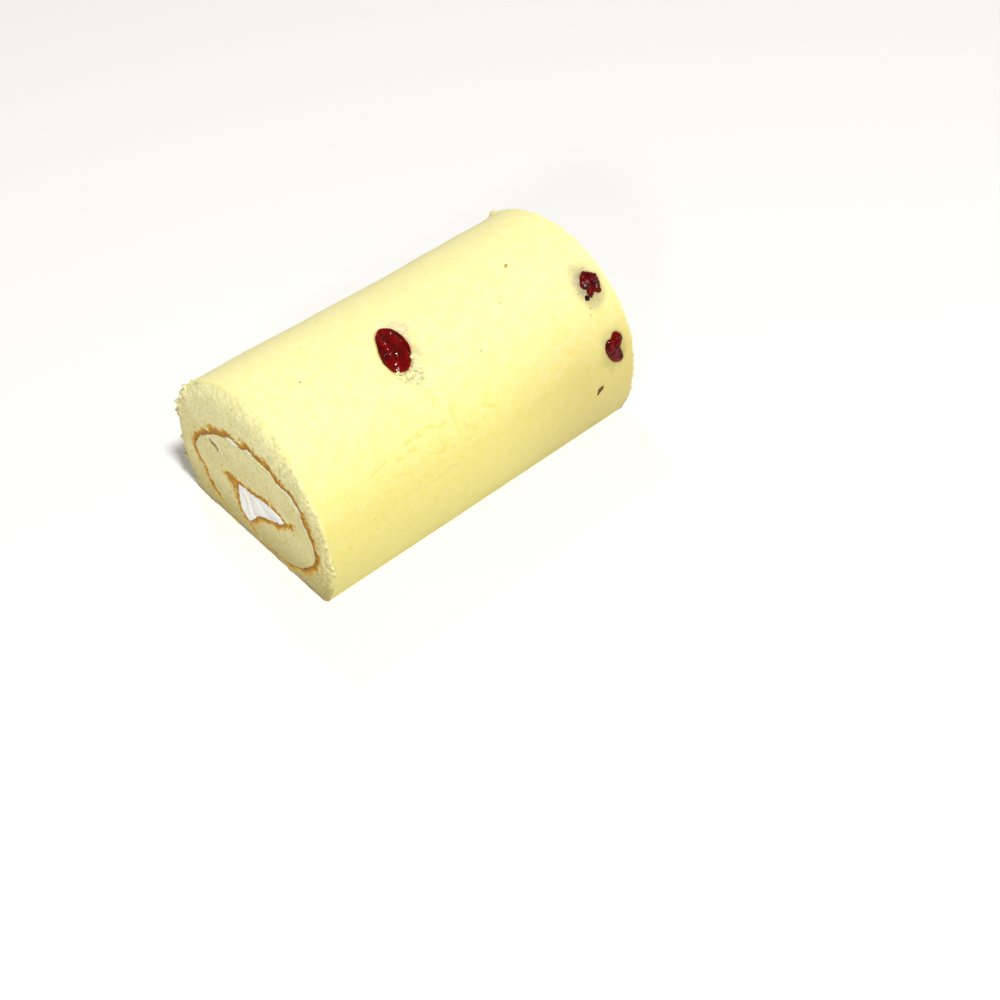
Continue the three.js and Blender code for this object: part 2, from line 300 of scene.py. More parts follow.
class CrumbSettings(bpy.types.PropertyGroup):
    """Crumbs that cling along the cut edges."""

    count: IntProperty(
        name="Count", description="Crumbs along each cut edge", default=20, min=0)
    smallest: FloatProperty(
        name="Smallest", description="Width of the smallest crumb", default=0.9 * MM,
        unit="LENGTH")
    largest: FloatProperty(
        name="Largest", description="Width of the largest crumb", default=2.4 * MM,
        unit="LENGTH")


class StageSettings(bpy.types.PropertyGroup):
    """Floor, light and camera."""

    floor_colour: FloatVectorProperty(
        name="Floor", description="Colour of the plain floor",
        default=linear("EDECE9"), subtype="COLOR", min=0, max=1)
    sky_strength: FloatProperty(
        name="Sky", description="Strength of the light from all round", default=0.18, min=0)
    key_power: FloatProperty(
        name="Key", description="Power of the soft lamp above", default=57.0, unit="POWER",
        min=0)
    fill_power: FloatProperty(
        name="Fill", description="Power of the soft lamp beyond the -X cut face", default=10.5,
        unit="POWER", min=0)
    back_power: FloatProperty(
        name="Back", description="Power of the soft lamp on the +Y side", default=8.0, unit="POWER",
        min=0)
    lens: FloatProperty(
        name="Lens", description="Focal length in millimetres", default=55.69, min=1,
        unit="CAMERA")


# ---------------------------------------------------------------- form of the log


def section_point(angle):
    """(y, z) on the log's section at angles in radians, before the base levels it."""
    c, s = np.cos(angle), np.sin(angle)
    y = WIDTH / 2 * np.sign(c) * np.abs(c) ** (2 / SQUARENESS)
    z = widest_height + rise_above_widest * np.sign(s) * np.abs(s) ** (2 / SQUARENESS)
    return np.stack([y, z], axis=-1)


def respace(line, spacing):
    """Points along a line of points, a step apart that depends on the place."""
    steps = np.linalg.norm(np.diff(line, axis=0), axis=1)
    middles = (line[1:] + line[:-1]) / 2
    count = np.concatenate([[0], np.cumsum(steps / spacing(middles))])
    places = np.linspace(0, count[-1], max(2, round(count[-1]) + 1))
    return np.stack([np.interp(places, count, column) for column in line.T], axis=1)


def section_ring(fine, coarse):
    """The section's closed outline, counter-clockwise from the +Y corner of the base."""
    base_sine = (widest_height / rise_above_widest) ** (SQUARENESS / 2)
    start = -math.asin(base_sine)
    arc = section_point(np.linspace(start, math.pi - start, 4000))
    arc[0, 1] = arc[-1, 1] = 0
    low_down, near_seam, base_step = 3.0, 2.5, 1.3 * coarse
    arc = respace(arc, lambda p: np.where(p[:, 1] > low_down, fine, coarse))
    base = np.linspace(arc[-1], arc[0], 2000)
    base = respace(base, lambda p: np.where(np.abs(p[:, 0] - SEAM_Y) < near_seam, fine, base_step))
    return np.concatenate([arc, base[1:-1]])


def arc_from_top(ring):
    """Distance of each place on the section's outline from its top, positive down the -Y side."""
    steps = np.linalg.norm(np.diff(ring, axis=0), axis=1)
    travelled = np.concatenate([[0], np.cumsum(steps)])
    return travelled - travelled[np.argmax(ring[:, 1])]


def ring_places(fine, coarse):
    """Where the rings stand along X: close at the rims and under the berries."""
    line = np.linspace(-LENGTH / 2, LENGTH / 2, 4000)[:, None]
    rim_band, berry_margin, close_step = 4.0, 2.0, 0.85 * fine

    def spacing(place):
        x = place[:, 0]
        close = np.abs(x) > LENGTH / 2 - rim_band
        for berry in BERRIES:
            close |= np.abs(x - berry["x"]) < berry["width"] / 2 + berry_margin
        return np.where(close, close_step, coarse)

    return respace(line, spacing)[:, 0]


def skin_dip(points):
    """Slow uneven dips of the skin, the same as in the log's solid."""
    x, y, z = points.T
    along = np.sin(x / 17 + y / 29) + np.sin(x / 31 - y / 13 + 2)
    return WAVE_DEPTH * (0.5 + along / 4) * np.minimum(1, z / 12)


def settle(points):
    """Moves points of the plain log to their settled places, soft rims and sag included."""
    rest = np.clip(RIM_RADIUS - (LENGTH / 2 - np.abs(points[:, 0])), 0, RIM_RADIUS)
    rim = RIM_RADIUS - np.sqrt(RIM_RADIUS ** 2 - rest ** 2)
    dip = skin_dip(points) + rim
    middle = 1 - (2 * points[:, 0] / LENGTH) ** 2
    sag = TOP_SAG * middle * (points[:, 2] / HEIGHT) ** 2
    settled = points.copy()
    settled[:, 1] *= 1 - dip / (WIDTH / 2)
    settled[:, 2] *= 1 - (dip + sag) / HEIGHT
    return settled


def skin_frame(spot, sink=0.0):
    """Centre and axes of a spot on the skin: lengthwise, crosswise and outward."""
    angle = math.radians(spot["angle"])
    nudge = 0.01
    along = section_point(angle + nudge) - section_point(angle - nudge)
    along /= np.linalg.norm(along)
    turn = math.radians(spot["turn"])
    outward = np.array([0, along[1], -along[0]])
    lengthwise = np.array([0, along[0], along[1]]) * math.cos(turn)
    lengthwise[0] = math.sin(turn)
    crosswise = np.cross(outward, lengthwise)
    centre = settle(np.array([[spot["x"], *section_point(angle)]]))[0] - sink * outward
    return centre, np.stack([lengthwise, crosswise, outward])


def within(points, spot, sink=0.0, clearance=0.0):
    """Local places of points at a spot, and how far out they are as a share of its outline."""
    centre, axes = skin_frame(spot, sink)
    local = (points - centre) @ axes.T
    share = np.hypot(
        local[:, 0] / (spot["length"] / 2 + clearance),
        local[:, 1] / (spot["width"] / 2 + clearance),
    )
    share[np.abs(local[:, 2]) > spot["length"]] = OUTSIDE
    return local, share


def within_berry(points, berry, clearance=0.0):
    """Local places of points at a berry, and how far out they are as a share of its reach."""
    local, share = within(points, berry, BERRY_SINK)
    reach = berry_reach(berry, local) + clearance
    away = np.hypot(local[:, 0], local[:, 1])
    return local, np.where(share < OUTSIDE, away / reach, OUTSIDE)


def berry_reach(berry, local):
    """Distance from a berry's middle to its outline, in the direction of each local place."""
    angle = np.arctan2(local[:, 1], local[:, 0]) % math.tau
    reach = np.array([*berry["reach"], berry["reach"][0]])
    per_gap, window = 8, 7
    fine = np.linspace(0, math.tau, per_gap * (len(reach) - 1) + 1)
    even = np.interp(fine, np.linspace(0, math.tau, len(reach)), reach)
    overlap = window // 2
    ringed = np.concatenate([even[-1 - overlap:-1], even, even[1:1 + overlap]])
    smooth = np.convolve(ringed, np.full(window, 1 / window), "valid")
    return np.interp(angle, fine, smooth)


def smoothstep(low, high, value):
    """A soft step from 0 at the first bound to 1 at the second, which may be the lower one."""
    share = np.clip((value - low) / (high - low), 0, 1)
    return share * share * (3 - 2 * share)


def lumps(points, size, seed):
    """Smooth noise from about -1 to 1 at points, with lumps of about that size."""
    shifted = points / size + SEED + 31.7 * seed
    return np.array([noise.noise(place) for place in shifted.tolist()])


def cells(points, size, seed):
    """Distance to the nearest random centre at points, as a share of the cells' size."""
    shifted = points / size + SEED + 17.9 * seed
    return np.array([noise.voronoi(place)[0][0] for place in shifted.tolist()])


def grid_normals(grid):
    """Outward direction at each point of a skin grid of rings (rings, places round, 3)."""
    along = np.gradient(grid, axis=0)
    ahead, behind = np.roll(grid, -1, axis=1), np.roll(grid, 1, axis=1)
    normal = np.cross(ahead - behind, along)
    return normal / np.linalg.norm(normal, axis=2, keepdims=True)


def frayed_edge(points, depth):
    """Height of the skin's frayed edge at each cut: bites in it and tufts that stand proud."""
    _, y, z = points.T
    from_end = LENGTH / 2 - np.abs(points[:, 0])
    # Torn cells of 2.3 mm, roughened at 1.2 mm, come and go every 6 mm
    tufts = 2.2 * (0.42 - cells(points, 2.3, 1)) + 0.9 * lumps(points, 1.2, 2)
    tufts += 0.5 * lumps(points, 6, 18)
    # The edge is neat along the top and most ragged on the +Y side
    tidy_top = smoothstep(46, 56, z) * smoothstep(24, 8, y)
    ragged_side = smoothstep(15, 32, y)
    fray = depth * (1 - 0.6 * tidy_top + 0.5 * ragged_side) * np.clip(tufts, -1, 1)
    for nub in NUBS:
        away = np.linalg.norm(points[:, 1:] - nub["place"], axis=1) / nub["reach"]
        bump = nub["height"] * np.exp(-away ** 4) * (1 + 0.5 * lumps(points, 1.5, 42))
        fray = np.where(points[:, 0] * nub["end"] > 0, np.maximum(fray, bump), fray)
    return fray * smoothstep(FRAYED_BAND, 0.4, from_end)


def outline_share(unrolled, spot):
    """How far places on the unrolled skin are from a spot's middle, as a share of its outline."""
    away = unrolled - [spot["x"], spot["s"]]
    return np.hypot(away[:, 0] / (spot["wide"] / 2), away[:, 1] / (spot["long"] / 2))


def edge_depth(places, outline):
    """Distance in from a closed outline, negative outside it."""
    outline = np.array(outline, float)
    away = line_distance(places, closed(outline))
    return np.where(inside(places, outline), away, -away)


def soft_relief(points, unrolled):
    """Height of the skin's swells, wrinkles and creases, and how creased each point is."""
    swells = 0.2 * lumps(points, 13, 3) + 0.08 * lumps(points, 5, 4)
    ridges = 1 - np.minimum(1, 4 * np.abs(lumps(points, 4.2, 5)))
    wrinkled = smoothstep(1.0, 0.3, outline_share(unrolled, WRINKLED))
    height = swells - SKIN_SINK - (0.04 + 0.26 * wrinkled) * ridges
    height += (0.04 + 0.22 * wrinkled) * lumps(points, 1.9, 9)
    wander = 0.6 * np.stack([lumps(points, 2.5, 14), lumps(points, 2.5, 15)], axis=1)
    crease = np.zeros(len(points))
    for line in CREASES:
        away = line_distance(unrolled + wander, np.array(line, float))
        crease = np.maximum(crease, np.exp(-(away / CREASE_REACH) ** 2))
    return height - CREASE_DEPTH * crease, crease


def patch_relief(points, unrolled):
    """Height of the patch by the middle berry, and how peeled and how torn each point is."""
    height, peeled, torn = np.zeros((3, len(points)))
    close = outline_share(unrolled, PATCH) < 1
    spots, places = points[close], unrolled[close]
    rough = 0.5 * lumps(spots, 2.2, 6) + 0.3 * lumps(spots, 1.1, 10)
    peeled[close] = smoothstep(-0.2, 0.55, edge_depth(places, PEELED) + 0.5 * rough)
    torn[close] = smoothstep(-0.2, 0.5, edge_depth(places, TORN) + 1.3 * rough)
    rugged = cells(spots, 2.1, 7) + 0.3 * lumps(spots, 0.9, 8)
    height[close] = peeled[close] * (0.16 * lumps(spots, 3, 16) - PEEL_DEPTH)
    height[close] += TORN_RELIEF * torn[close] * (rugged - 0.3)
    return height, peeled, torn


def press_dimple(points):
    """Presses the shallow dimple beside the middle berry in the skin."""
    local, share = within(points, DIMPLE)
    floor = -DIMPLE["depth"] * np.clip(1 - share ** 2, 0, 1) ** 0.8
    sink = np.clip(local[:, 2] - floor, 0, DIMPLE["depth"]) * (share < 1)
    softened = 0.6 * sink * smoothstep(1, 0.75, share)
    return points - softened[:, None] * skin_frame(DIMPLE)[1][2]


def press_berries(points):
    """Presses a bowl in the skin under each berry, and marks the gap round it for painted shade."""
    gap_shade = np.zeros(len(points))
    overlap, bowl_sink, lip_sink = 0.2, 0.15, 0.2
    for berry in BERRIES:
        local, share = within_berry(points, berry, -overlap)
        height = local[:, 2]
        bowl = -bowl_sink - berry["depth"] * np.sqrt(np.clip(1 - share ** 2, 0, 1))
        lip = -lip_sink * smoothstep(1.4, 1.0, share)
        target = np.where(share < 1, np.minimum(height, bowl), height + lip)
        points = points + (target - height)[:, None] * skin_frame(berry)[1][2]
        gap_shade = np.maximum(gap_shade, smoothstep(1.22, 1.03, share))
    return points, gap_shade


def juice_stain(points, unrolled):
    """How stained by fruit juice each point of the skin is."""
    stain = np.zeros(len(points))
    for spot in STAINS:
        share = outline_share(unrolled, spot)
        around = share < 1.3
        share[around] += 0.14 * lumps(points[around], 3.2, 17)
        stain = np.maximum(stain, spot["strength"] * smoothstep(1.05, 0.35, share))
    return stain


def skin_relief(points, normals, unrolled):
    """Moves settled skin points to their final places and says what shows there."""
    base = normals[:, 2] < -0.9
    height, crease = soft_relief(points, unrolled)
    patch, peeled, torn = patch_relief(points, unrolled)
    height = np.where(base, 0, height + patch)
    moved, gap_shade = press_berries(press_dimple(points + height[:, None] * normals))
    stain = juice_stain(points, unrolled)

    fray = frayed_edge(moved, bpy.context.scene.swiss_roll_sponge.edge_wear / MM)
    fray = np.where(base, np.minimum(fray, 0), fray)
    moved += fray[:, None] * np.where(base[:, None], np.array([0, 0, -0.5]), normals)
    groove = SEAM_GROOVE * np.exp(-((moved[:, 1] - SEAM_Y) / 0.7) ** 2)
    moved[:, 2] = np.maximum(moved[:, 2], 0) + np.where(base, groove, 0)
    marks = {"torn": torn, "peeled": peeled, "crease": crease, "stain": stain, "gap_shade": gap_shade}
    return moved, marks


# ---------------------------------------------------------------- cut faces


def spline(points, per_span=24):
    """A smooth line through points, in the way of a Catmull-Rom curve."""
    p = np.array(points, float)
    before = np.concatenate([p[:1], p[:-1]])
    after = np.concatenate([p[1:], p[-1:]])
    slope = (after - before) / 2
    share = np.linspace(0, 1, per_span, endpoint=False)[:, None]
    spans = []
    for i in range(len(p) - 1):
        curve = (2 * p[i] - 2 * p[i + 1] + slope[i] + slope[i + 1]) * share ** 3
        curve += (3 * p[i + 1] - 3 * p[i] - 2 * slope[i] - slope[i + 1]) * share ** 2
        spans.append(curve + slope[i] * share + p[i])
    return np.concatenate([*spans, p[-1:]])


def in_plane(places, x=0.0):
    """Places (y, z) as points with an x."""
    return np.column_stack([np.full(len(places), x), places])


def cream_lines(thinnest):
    """The cream's edges: the browned side, the pocket and the pale side, each a line (y, z)."""
    step = 0.55
    line = respace(spline(ROLLED_LINE), lambda p: step)
    travelled = np.concatenate([[0], np.cumsum(np.linalg.norm(np.diff(line, axis=0), axis=1))])
    line = line[travelled > CREAM_SETBACK]
    heading = np.gradient(line, axis=0)
    heading /= np.linalg.norm(heading, axis=1, keepdims=True)
    inward = np.stack([-heading[:, 1], heading[:, 0]], axis=1)
    wander, pocket_wander = 0.35, 0.25
    line = line + wander * lumps(in_plane(line), 2.4, 11)[:, None] * inward
    thickness = np.full(len(line), thinnest)
    for place, extra, reach in CREAM_BULGES:
        away = np.linalg.norm(line - place, axis=1) / reach
        thickness += extra * np.exp(-away ** 2)
    pale = line + thickness[:, None] * inward
    pocket = np.array([line[-1], *POCKET_LINE, pale[-1]], float)
    pocket = respace(pocket, lambda p: step)[1:-1]
    pocket += pocket_wander * np.stack(
        [lumps(in_plane(pocket), 2.2, 12), lumps(in_plane(pocket), 2.2, 13)], axis=1)
    return line, pocket, pale, thickness


def line_distance(places, line):
    """Distance from each place to a line of points."""
    nearest = np.full(len(places), 1e9)
    for a, b in zip(line[:-1], line[1:]):
        run = b - a
        share = np.clip((places - a) @ run / max(run @ run, 1e-12), 0, 1)
        nearest = np.minimum(nearest, np.linalg.norm(places - a - share[:, None] * run, axis=1))
    return nearest


def inside(places, outline):
    """Which places lie inside a closed outline."""
    crossings = np.zeros(len(places), int)
    for a, b in zip(outline, np.roll(outline, -1, axis=0)):
        between = (a[1] > places[:, 1]) != (b[1] > places[:, 1])
        if between.any():
            at = a[0] + (places[between, 1] - a[1]) / (b[1] - a[1]) * (b[0] - a[0])
            crossings[between] += places[between, 0] < at
    return crossings % 2 == 1


def closed(line):
    """A line that ends where it starts."""
    return np.concatenate([line, line[:1]])


def lay_out_face(outline, channel, step, seed):
    """Splits a cut face into triangles. The outline's places come first, then the channel's."""
    rng = np.random.default_rng(SEED + seed)
    shift = 0.17 * step
    low, high = outline.min(0), outline.max(0)
    rows = np.arange(low[1], high[1], step * math.sqrt(3) / 2)
    scatter = []
    for k, z in enumerate(rows):
        y = np.arange(low[0] + step / 2 * (k % 2), high[0], step)
        scatter.append(np.stack([y, np.full(len(y), z)], axis=1))
    scatter = np.concatenate(scatter)
    scatter += rng.uniform(-shift, shift, scatter.shape)
    scatter = scatter[inside(scatter, outline)]
    clear = np.minimum(
        line_distance(scatter, closed(outline)), line_distance(scatter, closed(channel)))
    scatter = scatter[clear > 0.5 * step]
    places = np.concatenate([outline, channel, scatter])
    first = len(outline)
    edges = [(i, (i + 1) % first) for i in range(first)]
    edges += [(first + i, first + (i + 1) % len(channel)) for i in range(len(channel))]
    made, _, triangles, origin, _, _ = geometry.delaunay_2d_cdt(
        [Vector(p) for p in places.tolist()], edges, [], 0, 1e-6)
    if len(made) != len(places):
        raise RuntimeError("the cut face's outline crosses itself, so it can't be laid out")
    back = np.array([sources[0] for sources in origin])
    triangles = back[np.array(triangles)]
    middle = places[triangles].mean(axis=1)
    in_channel = inside(middle, channel)
    in_log = inside(middle, outline)
    return places, triangles[in_log & ~in_channel], triangles[in_channel]


def near_line(places, shape):
    """How near places are to a shape's line: 1 on it, fading to 0 round half its width away."""
    away = line_distance(places, np.array(shape["line"], float))
    away += 0.35 * lumps(in_plane(places), 1.5, 27)
    half_width, softness = shape["width"] / 2, 0.5
    return smoothstep(half_width + softness, half_width - softness, away)


def gathered(places, clumps):
    """Sum of soft round clumps ((y, z), size, reach) at places."""
    total = np.zeros(len(places))
    for place, size, reach in clumps:
        total += size * np.exp(-(np.linalg.norm(places - place, axis=1) / reach) ** 2)
    return total


def crust_depth(places, browned, pocket, pale):
    """Depth of places behind the browned side, as a share of the browning's own thickness."""
    crumbly = [lumps(in_plane(places), 1.5, seed) for seed in (38, 39)]
    off_line = line_distance(places, browned) > 0.1
    places = places + 0.45 * np.stack(crumbly, axis=1) * off_line[:, None]
    browned_away = np.minimum(line_distance(places, browned), line_distance(places, pocket))
    pale_away = line_distance(places, pale)
    depth = np.where(browned_away <= pale_away, browned_away, UNBROWNED)
    for fold in (*FOLDS, SEAM_FOLD):
        depth = np.minimum(depth, line_distance(places, np.array(fold, float)) + 0.2)
    points = in_plane(places)
    thickness = BROWNING_THICKNESS + gathered(places, CRUST_CLUMPS)
    thickness *= 1 + 0.8 * lumps(points, 2.6, 28) + 0.8 * lumps(points, 1.1, 29)
    depth = depth / np.clip(thickness, 0.3, 4) + 1.2 * gathered(places, CRUST_FADES)
    return np.minimum(depth, UNBROWNED)


def face_relief(places, outline, browned, end, crust, pore_depth):
    """How far the cut face lies behind its plane, and how deep in a pore each place is.

    The outer turn's crumb is fluffy towards the -Y side. At the near end the upper part leans
    back, and the rim there is rubbed.
    """
    points = in_plane(places, 50.0 * end)  # far apart, so each end has a pattern of its own
    y, z = places.T
    from_edge = line_distance(places, closed(outline))
    outer_turn = ~inside(places, browned)
    fluffy = outer_turn * (0.25 + 0.75 * smoothstep(-8, -26, y))

    # Open pores up to 2.6 mm and small ones of 1.35 mm, in crumb uneven at 4.2, 1.7 and 1.5 mm
    open_pore = smoothstep(0.40, 0.12, cells(points, 2.6, 21) + 0.35 * np.abs(lumps(points, 5, 22)))
    small_pore = smoothstep(0.36, 0.1, cells(points, 1.35, 23) + 0.2 * lumps(points, 4, 30))
    pore = np.clip(0.6 * open_pore + (0.3 + 0.4 * fluffy) * small_pore, 0, 1)
    rough = 0.7 + 0.8 * lumps(points, 4.2, 24) + 0.5 * lumps(points @ CRUMB_GRAIN, 0.8, 25)
    rough += 0.5 * lumps(points, 1.7, 40)
    rough += fluffy * (1.1 * lumps(points, 1.5, 34) + 0.9 * lumps(points, 2.8, 35))
    relief = pore_depth * (0.35 + 0.3 * rough + pore)
    relief += smoothstep(1.6, 0.4, crust) * 0.3 * (0.4 + lumps(points, 1.4, 26))

    # The rim is worn round both faces, and most where it is rubbed. Teeth of crumb stand on it
    near = end < 0
    rubbed = smoothstep(40, 54, z) * smoothstep(40, 27, y) * smoothstep(-33, -20, y) * near
    wear = np.clip(1 - from_edge / (3.5 + 4.5 * rubbed), 0, 1) ** (1.6 + 0.8 * rubbed)
    relief += wear * (0.5 + 1.7 * rubbed) * (1 + 0.2 * lumps(points, 2.6, 36))
    relief += 0.5 * rubbed * np.sqrt(wear) * lumps(points, 1.4, 41)
    tooth = np.clip(1.7 * lumps(points, 3.0, 37) - 0.25, 0, 1) * smoothstep(2.4, 0.3, from_edge)
    tooth *= 1 - 0.8 * rubbed * smoothstep(30, 12, y)
    leaning = np.clip((z - 40) / (HEIGHT - 40), 0, 1) ** 2 * near
    return np.maximum(relief, 0.02) + 0.7 * leaning - 0.8 * tooth, pore, fluffy


@lru_cache(maxsize=1)
def cut_log():
    """The finished skin grid and both cut faces, shared by the sponge and the cream."""
    sponge = bpy.context.scene.swiss_roll_sponge
    cream = bpy.context.scene.swiss_roll_cream
    fine, coarse = sponge.fine_step / MM, sponge.coarse_step / MM
    ring = section_ring(fine, coarse)
    rings = ring_places(fine, coarse)
    flat = np.zeros((len(rings), len(ring), 3))
    flat[:, :, 0] = rings[:, None]
    flat[:, :, 1:] = ring[None]
    settled = settle(flat.reshape(-1, 3))
    normals = grid_normals(settled.reshape(flat.shape)).reshape(-1, 3)
    arc = arc_from_top(ring)
    unrolled = np.column_stack([flat[:, :, 0].ravel(), np.tile(arc, len(rings))])
    skin, skin_marks = skin_relief(settled, normals, unrolled)
    skin = skin.reshape(flat.shape)

    browned, pocket, pale, thickness = cream_lines(cream.ribbon_thickness / MM)
    channel = np.concatenate([browned, pocket, pale[::-1]])
    ribbon = np.concatenate([thickness, np.full(len(pocket), IN_POCKET), thickness[::-1]])
    faces = []
    give_way, rim_band, window = 9.0, 1.2, 7
    for end, row in ((-1, 0), (1, -1)):
        outline = skin[row, :, 1:]
        places, sponge_faces, cream_faces = lay_out_face(outline, channel, fine, end)
        crust = crust_depth(places, browned, pocket, pale)
        relief, pore, open_crumb = face_relief(
            places, outline, browned, end, crust, sponge.pore_depth / MM)
        slit = near_line(places, SLIT) * (end < 0)
        relief += SLIT["depth"] * slit
        x = end * (LENGTH / 2 - relief)
        faces.append({
            "end": end, "points": np.column_stack([x, places]), "crust": crust,
            "pore": pore, "sponge": sponge_faces, "cream": cream_faces,
            "smear": near_line(places, SLIT_CREAM) * (end < 0), "open_crumb": open_crumb,
            "slit": slit,
        })
        # The skin goes along with the face's edge: softly far in, and fully at the rim
        moved = x[:len(ring)] - skin[row, :, 0]
        half = window // 2
        soft = sum(np.roll(moved, k) for k in range(-half, half + 1)) / window
        away = np.abs(skin[:, :, 0] - skin[row, :, 0])
        near_end = np.clip(1 - away / give_way, 0, 1)
        skin[:, :, 0] += near_end * soft + smoothstep(rim_band, 0, away) * (moved - soft)
    return {
        "skin": skin, "skin_marks": skin_marks, "rings": rings, "arc": arc, "faces": faces,
        "channel": channel, "ribbon": ribbon,
    }


# ---------------------------------------------------------------- meshes


def make_piece(name, points, faces, material, marks=None):
    """Makes an object from points in mm, and stores named values on its points."""
    mesh = bpy.data.meshes.new(name)
    mesh.from_pydata((np.asarray(points) * MM).tolist(), [], faces)
    mesh.validate()
    for mark, values in (marks or {}).items():
        attribute = mesh.attributes.new(mark, "FLOAT", "POINT")
        attribute.data.foreach_set("value", np.asarray(values, np.float32))
    mesh.shade_smooth()
    mesh.materials.append(material)
    piece = bpy.data.objects.new(name, mesh)
    bpy.context.scene.collection.objects.link(piece)
    return piece


def wall(first, second, inwards):
    """Faces that join two closed rings of point numbers."""
    a, b = np.asarray(first), np.asarray(second)
    quads = np.stack([a, np.roll(a, -1), np.roll(b, -1), b], axis=1)
    return (quads[:, ::-1] if inwards else quads).tolist()


def sponge_mesh():
    """Points, faces and marks of the whole rolled sheet: skin, cut faces and channel walls."""
    log = cut_log()
    skin = log["skin"]
    rings, count = skin.shape[:2]
    points = [skin.reshape(-1, 3)]
    faces = []
    for j in range(rings - 1):
        faces += wall(range(j * count, (j + 1) * count),
                      range((j + 1) * count, (j + 2) * count), False)
    total = rings * count
    from_end = LENGTH / 2 - np.abs(skin[:, :, 0].ravel())
    marks = {"cut": [smoothstep(2.8, 0.6, from_end)], "crust": [np.full(total, UNBROWNED)]}
    marks |= {name: [np.zeros(total)] for name in ("pore", "smear", "open_crumb", "slit")}
    marks |= {name: [values] for name, values in log["skin_marks"].items()}
    loops = []
    channel_count = len(log["channel"])
    for face in log["faces"]:
        ring_start = 0 if face["end"] < 0 else (rings - 1) * count
        number = np.arange(len(face["points"])) + total - count
        number[:count] = ring_start + np.arange(count)
        triangles = number[face["sponge"]]
        faces += (triangles[:, ::-1] if face["end"] < 0 else triangles).tolist()
        points.append(face["points"][count:])
        loops.append(number[count:count + channel_count])
        added = len(face["points"]) - count
        for name, values in marks.items():
            if name in face:
                values.append(face[name][count:])
                values[0][ring_start:ring_start + count] = face[name][:count]
            else:
                values.append(np.full(added, float(name == "cut")))
        total += added
    points.append(in_plane(log["channel"]))
    for values in marks.values():
        values.append(np.full(channel_count, values[-1][0]))
    inner = np.arange(channel_count) + total
    faces += wall(loops[0], inner, True) + wall(inner, loops[1], True)
    return np.concatenate(points), faces, {k: np.concatenate(v) for k, v in marks.items()}


def cream_mesh():
    """Points, faces and marks of the cream: pocket and ribbon, through the whole log."""
    log = cut_log()
    swell = bpy.context.scene.swiss_roll_cream.swell / MM
    channel_count, ring_count = len(log["channel"]), log["skin"].shape[1]
    points, faces, thin, tinted, loops = [], [], [], [], []
    total = 0
    edge = closed(log["channel"])
    for face in log["faces"]:
        used = np.unique(face["cream"])
        order = np.concatenate([
            ring_count + np.arange(channel_count),
            used[used >= ring_count + channel_count],
        ])
        place = face["points"][order]
        away = line_distance(place[:, 1:], edge)
        # Swells of 4.5 and 1.7 mm, and streaks drawn out along Y by the knife
        height = 0.6 * lumps(place, 4.5, 31) + 0.35 * lumps(place, 1.7, 32)
        height += 0.25 * lumps(place @ np.diag([1, 0.4, 1.2]), 1.0, 33)
        depth = 0.15 + swell * np.clip(0.35 - height, 0, 2)
        for line, deep, reach in FURROWS:
            depth += deep * np.exp(-(line_distance(place[:, 1:], np.array(line)) / reach) ** 2)
        # At its edge the cream lies just behind the crumb that it touches
        depth = np.where(away < 0.05, LENGTH / 2 - np.abs(place[:, 0]) + 0.04, depth)
        place[:, 0] = face["end"] * (LENGTH / 2 - depth)
        back = np.full(order.max() + 1, -1)
        back[order] = np.arange(len(order)) + total
        triangles = back[face["cream"]]
        faces += (triangles[:, ::-1] if face["end"] < 0 else triangles).tolist()
        points.append(place)
        loops.append(back[order[:channel_count]])
        ribbon = np.full(len(order), IN_POCKET)
        ribbon[:channel_count] = log["ribbon"]
        thin.append(smoothstep(0.9, 0.5, ribbon))
        from_middle = np.linalg.norm(place[:, 1:] - POCKET_MIDDLE, axis=1)
        tinted.append(smoothstep(15, 19, from_middle))
        total += len(order)
    faces += wall(loops[0], loops[1], False)
    marks = {"thin": np.concatenate(thin), "tinted": np.concatenate(tinted)}
    return np.concatenate(points), faces, marks


def berry_fold(direction, wrinkle):
    """Folded skin of a dried berry: a share added to the radius."""
    x, y, z = direction.T
    length_fold = np.sin(7 * np.arctan2(z, y) + 2.5 * x)
    cross_fold = np.sin(6 * x + 3 * z + 1)
    return wrinkle * (1 - x ** 4) * (0.6 * length_fold + 0.4 * cross_fold - 1)


def unit_ball(subdivisions):
    """Points and triangles of a ball of radius 1."""
    ball = bmesh.new()
    bmesh.ops.create_icosphere(ball, subdivisions=subdivisions, radius=1)
    points = np.array([v.co for v in ball.verts])
    faces = np.array([[v.index for v in f.verts] for f in ball.faces])
    ball.free()
    return points, faces


